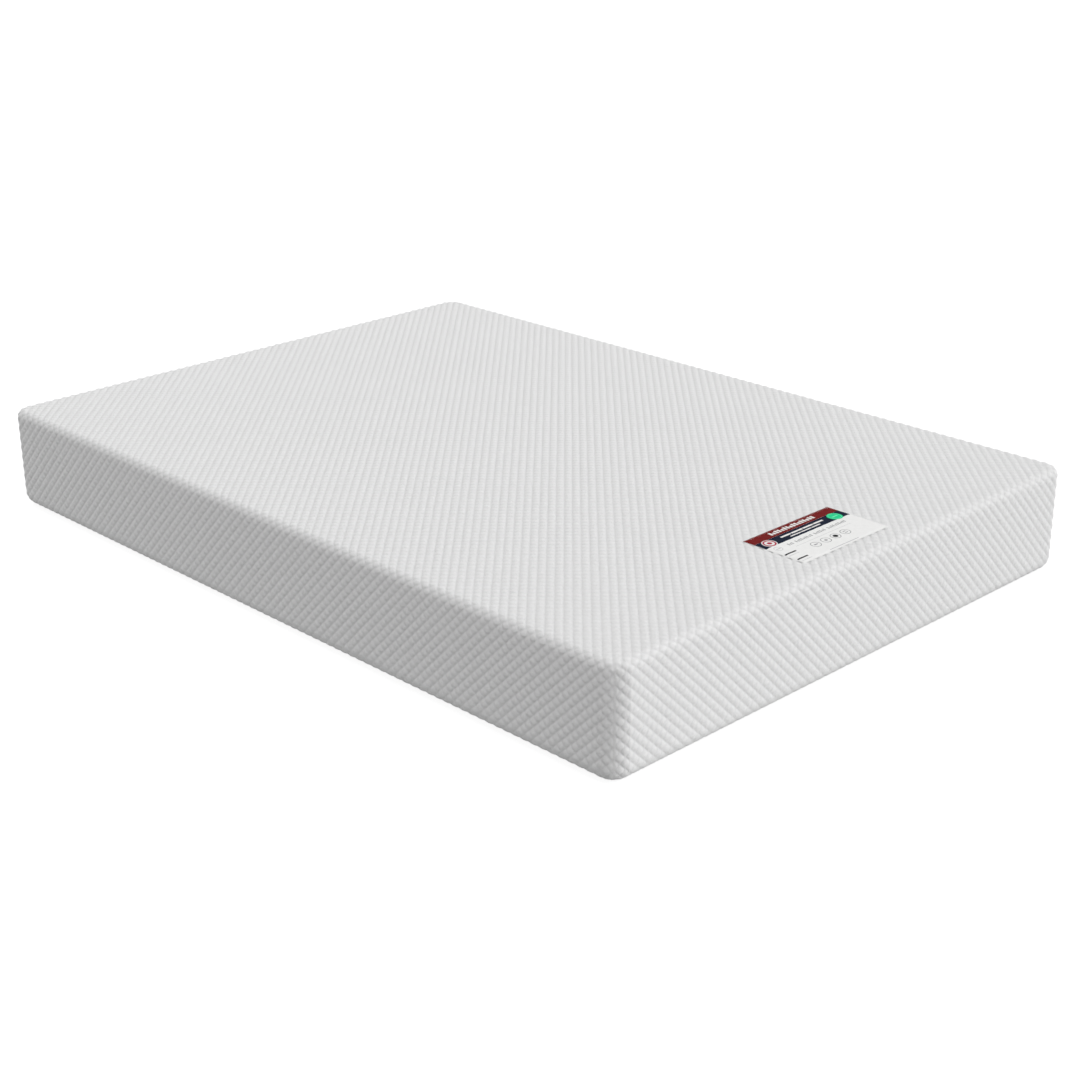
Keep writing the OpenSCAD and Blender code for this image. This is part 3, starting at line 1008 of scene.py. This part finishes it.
def frame_stitches(name, corners, height, inset=1.6 * MM, pitch=3.2 * MM, length=2.3 * MM):
    """A row of stitches round a rectangle that lies flat."""
    (x0, y0), (x1, y1) = corners
    loop = [(x0 + inset, y0 + inset), (x1 - inset, y0 + inset), (x1 - inset, y1 - inset)]
    loop.append((x0 + inset, y1 - inset))
    starts, ends = [], []
    for (ax, ay), (bx, by) in zip(loop, loop[1:] + loop[:1]):
        span = math.hypot(bx - ax, by - ay)
        dx, dy = (bx - ax) / span, (by - ay) / span
        count = int(span // pitch)
        slack = (span - count * pitch) / 2
        for k in range(count):
            at = slack + k * pitch + (pitch - length) / 2
            starts.append((ax + dx * at, ay + dy * at))
            ends.append((ax + dx * (at + length), ay + dy * (at + length)))
    starts, ends = np.array(starts), np.array(ends)
    starts = np.column_stack([starts, height(starts[:, 0], starts[:, 1])])
    ends = np.column_stack([ends, height(ends[:, 0], ends[:, 1])])
    return stitches(name, starts, ends, (0, 0, 1), 0.28 * MM, 0.4 * MM)


def make_care_tag():
    """A blank satin tag on the head end, sewn round."""
    low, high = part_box("care_tag")
    columns, rows = 28, 20
    x, z = np.meshgrid(
        np.linspace(low.x, high.x, columns), np.linspace(low.z, high.z, rows), indexing="ij"
    )
    face = high.y + (0.35 + 0.25 * np.sin(90 * x) * np.cos(120 * z)) * MM
    outer = np.stack([x, face, z], -1).reshape(-1, 3)
    inner = outer - np.array([0, 0.5 * MM, 0])
    quads = grid_faces(columns, rows)
    size = columns * rows
    index = np.arange(size).reshape(columns, rows)
    rim = np.concatenate([index[0, :-1], index[:-1, -1], index[-1, :0:-1], index[:0:-1, 0]])
    after = np.roll(rim, -1)
    sides = np.stack([rim, rim + size, after + size, after], -1)
    faces = np.concatenate([quads, quads[:, ::-1] + size, sides])
    tag = new_object("care_tag_sheet", np.concatenate([outer, inner]), faces, smooth=False)
    finish_piece(tag, weave_look("tag_satin", srgb(240, 240, 238), 0.6 * MM, (0, 2), 0.04 * MM),
                 ["care_tag"])
    flat = frame_stitches(
        "care_tag_thread", [(low.x, low.z), (high.x, high.z)], lambda a, b: a * 0, 1.3 * MM, 2.8 * MM
    )
    flat.data.transform(Matrix(((1, 0, 0, 0), (0, 0, 1, high.y + 0.6 * MM), (0, 1, 0, 0), (0, 0, 0, 1))))
    flat.data.flip_normals()
    finish_piece(flat, thread_look("tag_thread", srgb(225, 225, 224)),
                 ["care_tag_stitching"])


def make_corner_seams(thread):
    """Sewn ladder down each upright corner, in the valley between the two side panels."""
    for name, sx, sy in (
        ("foot_left", -1, -1),
        ("foot_right", 1, -1),
        ("head_left", -1, 1),
        ("head_right", 1, 1),
    ):
        node = "corner_seam_" + name
        low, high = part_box(node)
        ray = np.array([sx, sy, 0]) / math.sqrt(2)
        across = np.array([-sy, sx, 0]) / math.sqrt(2)
        centre = np.array([sx * FLAT_STEPS_X * STEP, sy * FLAT_STEPS_Y * STEP, 0])
        valley = centre + ray * (CORNER_R - HEM_DEPTH)
        heights = np.arange(low.z, high.z - 3 * MM, 3.6 * MM)
        base = valley + np.outer(heights, [0, 0, 1.0])
        starts = base - across * 0.9 * MM
        ends = base + across * 0.9 * MM + np.array([0, 0, 2.6 * MM])
        ob = stitches("seam_" + name, starts, ends, ray, 0.32 * MM, 0.5 * MM)
        finish_piece(ob, thread, [node])


def make_base(thread):
    """The base cloth and the overlocked seam that joins the cover to it."""
    base = block_piece("base_cloth", "base_panel", 5 * MM, 0.6 * MM, 0.6 * MM)
    cloth = weave_look("base_cloth", srgb(226, 226, 224), 1.6 * MM, depth=0.2 * MM, twill=0.5)
    finish_piece(base, cloth, ["base_panel"])
    low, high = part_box("base_panel")
    low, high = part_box("base_seam")
    count = 2 * round(3 * (high.x + high.y) / (2.8 * MM))
    band = 3.4 * MM
    outline, outward = rounded_outline(
        high.x - band / 2, high.y - band / 2, 5 * MM, 9, count
    )
    path = np.column_stack([outline, np.full(count, 1.15 * MM)])
    roll = tube("base_seam_roll", path[::4], band / 2, 8, (1.0, 0.42), closed=True)
    finish_piece(roll, thread, ["base_seam"])
    sideways = np.column_stack([outward, np.zeros(count)]) * (1.45 * MM)
    low_path = path - np.array([0, 0, 0.45 * MM])
    swing = np.where(np.arange(count) % 2, 1.0, -1.0)[:, None] * sideways
    starts = low_path + swing
    ends = np.roll(starts, -1, axis=0)
    over = stitches("base_seam_overlock", starts, ends, (0, 0, -1), 0.24 * MM, 0.3 * MM, 4, 4)
    finish_piece(over, thread)


def make_tape(node, name, bead_z):
    """A woven zip tape with a thicker cord along the edge that carries the coil."""
    low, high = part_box(node)
    mid = (low.x + high.x) / 2
    half = (high.x - low.x) / 2
    span = np.linspace(0, 1, 12)
    z = low.z + (high.z - low.z) * span
    swell = 0.75 + 0.25 * np.exp(-(((z - bead_z) / (1.2 * MM)) ** 2))
    rounded = np.sqrt(np.clip(1 - (2 * span - 1) ** 12, 0.02, 1))
    depth = half * swell * rounded
    section = np.concatenate(
        [np.column_stack([mid + depth, z]), np.column_stack([mid - depth, z])[::-1]]
    )
    y = np.linspace(low.y, high.y, 260)
    ripple = 0.12 * MM * np.sin(37 * y) * np.sin(5.3 * y)
    points = np.zeros((len(y), len(section), 3))
    points[..., 0] = section[None, :, 0] + ripple[:, None]
    points[..., 1] = y[:, None]
    points[..., 2] = section[None, :, 1]
    return new_object(name, points.reshape(-1, 3), tube_tris(len(y), len(section)))


COIL_PITCH = 1.5 * MM
COIL_TURN_POINTS = 8
COIL_WIRE = 0.33 * MM
SLIDER_CLEAR = 0.4 * MM  # between the parted coils and the slider's side walls at its stop


def make_coil(node, name, heads_up, phase, cut):
    """A nylon coil: one flattened turn of wire a tooth, whose heads pass the zip's middle.

    It is two pieces, cut where the open slider's side walls start: they hold the rest together.
    """
    low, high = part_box(node)
    turns = int((high.y - low.y) / COIL_PITCH) - 1
    angle = 2 * math.pi * np.arange(turns * COIL_TURN_POINTS) / COIL_TURN_POINTS
    reach_z = (high.z - low.z) / 2
    reach_x = (high.x - low.x) / 2 - COIL_WIRE
    mid_z = (low.z + high.z) / 2 + (0.15 * MM if heads_up else -0.15 * MM)
    mid_x = (low.x + high.x) / 2
    y = low.y + COIL_PITCH * (angle / (2 * math.pi) + phase + 0.5)
    x = mid_x + reach_x * np.cos(angle)
    z = mid_z + reach_z * np.sin(angle)
    path = np.column_stack([x, y, z])
    first = int((cut - y[0]) / COIL_PITCH * COIL_TURN_POINTS)
    return [
        tube(name, path[: first + 1], COIL_WIRE, 5, up=(0, 1, 0)),
        tube(name + "_end", path[first:], COIL_WIRE, 5, up=(0, 1, 0)),
    ]


def make_zip(thread):
    """The zip's tapes, coils and stitching, which part towards the opening's edges."""
    tape_cloth = weave_look("zip_tape", srgb(232, 232, 230), 0.8 * MM, (1, 2), 0.1 * MM, twill=1.0)
    nylon = nylon_look("zip_coil", srgb(236, 236, 234))
    middle = (SLOT_TOP_Z + SLOT_BOTTOM_Z) / 2
    travel = next(j["range_m"][1] for j in frame["joints"] if j["name"] == "zip_slide")
    slider_low, slider_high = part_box("zip_slider")
    cut = slider_low.y + travel + (slider_high.z - slider_low.z) / 2 - SLIDER_CLEAR
    for half, edge, sign in (("upper", SLOT_TOP_Z, 1), ("lower", SLOT_BOTTOM_Z, -1)):
        node = "zip_tape_" + half
        low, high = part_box(node)
        tape = make_tape(node, "tape_" + half, middle + sign * 1.6 * MM)
        finish_piece(tape, tape_cloth, [node])
        coil_node = "zip_coil_" + half
        coils = make_coil(coil_node, "coil_" + half, sign < 0, 0.25 * (1 + sign), cut)
        for coil in coils:
            finish_piece(coil, nylon, [coil_node])
        y = np.arange(low.y + 3 * MM, high.y - 3 * MM, 3 * MM)
        row = np.column_stack([np.full(len(y), high.x), y, np.full(len(y), edge - sign * 2 * MM)])
        ends = row + np.array([0, 2.2 * MM, 0])
        sewn = stitches("zip_thread_" + half, row, ends, (1, 0, 0), 0.26 * MM, 0.4 * MM, 5, 4)
        finish_piece(sewn, thread, ["zip_stitching"])
        for piece in (tape, coils[0], sewn):
            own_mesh(piece)


def make_core(thread):
    """The foam inside the cover, and the knitted sock round it."""
    memory = block_piece("memory_foam", "memory_foam_layer", 30 * MM, 0.8 * MM, 9.9 * MM)
    finish_piece(memory, foam_look("memory_foam", srgb(238, 232, 206), 1.4 * MM),
                 ["memory_foam_layer"])
    reflex = block_piece("reflex_core", "reflex_foam_base", 30 * MM, 19.9 * MM, 0.8 * MM)
    finish_piece(reflex, foam_look("reflex_foam", srgb(206, 216, 226), 2.4 * MM),
                 ["reflex_foam_base"])
    film = block_piece("adhesive_layer", "adhesive_film", 30 * MM, 0.3 * MM, 0.3 * MM)
    finish_piece(film, nylon_look("adhesive", srgb(230, 222, 190)), ["adhesive_film"])
    sock = block_piece("stockinette_sock", "inner_sock", 31.7 * MM, 21.5 * MM, 11.6 * MM, 1.3 * MM)
    finish_piece(sock, knit_look("sock_knit", srgb(236, 236, 232), 1.8 * MM),
                 ["inner_sock"])
    low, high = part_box("inner_sock")
    low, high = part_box("sock_end_seam")
    x = np.arange(low.x, high.x, 3.0 * MM)
    z = (low.z + high.z) / 2
    starts = np.column_stack([x, np.full(len(x), high.y), np.full(len(x), z - 1.3 * MM)])
    ends = starts + np.array([1.5 * MM, 0, 2.6 * MM])
    seam = stitches("sock_seam", starts, ends, (0, 1, 0), 0.26 * MM, 0.35 * MM, 4, 4)
    finish_piece(seam, thread, ["sock_end_seam"])


def finish_kept_nodes():
    """Gives the CAD parts that stay as they are their finished materials."""
    zinc = metal_look("zip_metal", srgb(205, 206, 208))
    for name in ("zip_top_stops", "zip_bottom_stop", "zip_slider", "zip_pull"):
        ob = frame["nodes"][name]
        for place in ob.material_slots:
            place.material = zinc


# ---------------------------------------------------------------- the studio

FLOOR_LEVEL = 0.34
FLOOR_GLOW = 0.82
FLOOR_SIZE = 80.0
FLOOR_GAP = 0.2 * MM  # below the mattress, so that the two faces don't meet
SKY_LEVEL = 0.665
GROUND_LEVEL = 0.17
HORIZON = 0.25  # sine of the height over which the ground fades into the sky
# Soft panels: where from, brightness, and how narrow each is
PANELS = [
    ((0.48, -0.87, -0.08), 0.92, 2.0),
    ((-0.40, 0.66, 0.64), 0.42, 3.0),
]
KEY_STRENGTH = 0.68
KEY_FROM = (0.70, -0.55, 0.45)
KEY_ANGLE = math.radians(16)

CAMERA_AT = (-2.68023, -2.84959, 1.57439)
CAMERA_FORWARD = (0.644493, 0.665438, -0.376592)
CAMERA_UP = (0.26675, 0.265902, 0.926359)
CAMERA_LENS = 63.483
CAMERA_SENSOR = 36.0


def make_studio():
    scene = bpy.context.scene
    scene.view_settings.view_transform = "Standard"
    world = bpy.data.worlds.new("studio")
    scene.world = world
    world.use_nodes = True
    tree = world.node_tree
    direction = tree.nodes.new("ShaderNodeTexCoord").outputs["Generated"]
    split = tree.nodes.new("ShaderNodeSeparateXYZ")
    tree.links.new(direction, split.inputs[0])
    level = tree.nodes.new("ShaderNodeMapRange")
    level.interpolation_type = "SMOOTHSTEP"
    for socket, value in enumerate((-HORIZON, HORIZON, GROUND_LEVEL, SKY_LEVEL), start=1):
        level.inputs[socket].default_value = value
    tree.links.new(split.outputs[2], level.inputs[0])
    strength = level.outputs[0]
    for toward, brightness, narrow in PANELS:
        facing = tree.nodes.new("ShaderNodeVectorMath")
        facing.operation = "DOT_PRODUCT"
        facing.inputs[1].default_value = Vector(toward).normalized()
        tree.links.new(direction, facing.inputs[0])
        front = tree.nodes.new("ShaderNodeMath")
        front.operation = "MAXIMUM"
        front.inputs[1].default_value = 0.0
        tree.links.new(facing.outputs["Value"], front.inputs[0])
        lobe = tree.nodes.new("ShaderNodeMath")
        lobe.operation = "POWER"
        lobe.inputs[1].default_value = narrow
        tree.links.new(front.outputs[0], lobe.inputs[0])
        total = tree.nodes.new("ShaderNodeMath")
        total.operation = "MULTIPLY_ADD"
        total.inputs[1].default_value = brightness
        tree.links.new(lobe.outputs[0], total.inputs[0])
        tree.links.new(strength, total.inputs[2])
        strength = total.outputs[0]
    sky = tree.nodes["Background"]
    sky.inputs["Color"].default_value = (1, 1, 1, 1)
    tree.links.new(strength, sky.inputs["Strength"])
    key = bpy.data.lights.new("key", "SUN")
    key.energy = KEY_STRENGTH
    key.angle = KEY_ANGLE
    key_ob = bpy.data.objects.new("key", key)
    key_ob.rotation_euler = Vector(KEY_FROM).to_track_quat("Z", "Y").to_euler()
    scene.collection.objects.link(key_ob)
    bpy.ops.mesh.primitive_plane_add(size=FLOOR_SIZE, location=(0, 0, -FLOOR_GAP))
    floor = bpy.context.object
    floor.name = "studio_floor"
    floor.data.materials.append(floor_look())
    floor.visible_diffuse = False  # its glow doesn't light the mattress


def make_camera():
    forward = Vector(CAMERA_FORWARD).normalized()
    right = forward.cross(Vector(CAMERA_UP)).normalized()
    up = right.cross(forward)
    data = bpy.data.cameras.new("camera")
    data.lens = CAMERA_LENS
    data.sensor_width = CAMERA_SENSOR
    camera = bpy.data.objects.new("camera", data)
    turn = Matrix((right, up, -forward)).transposed().to_4x4()
    camera.matrix_world = Matrix.Translation(CAMERA_AT) @ turn
    bpy.context.scene.collection.objects.link(camera)
    bpy.context.scene.camera = camera


# ---------------------------------------------------------------- the whole mattress

make_camera()
make_studio()
sheet_of_cover = build_cover()
knit = knit_look("bubble_knit", srgb(238, 238, 238), uv="Knit", loft=True)
cover_pieces = make_cover_pieces(sheet_of_cover, knit)
sewing = thread_look("sewing_thread", srgb(228, 228, 226))
make_label()
make_care_tag()
make_corner_seams(sewing)
make_base(sewing)
make_zip(sewing)
make_core(sewing)
finish_kept_nodes()
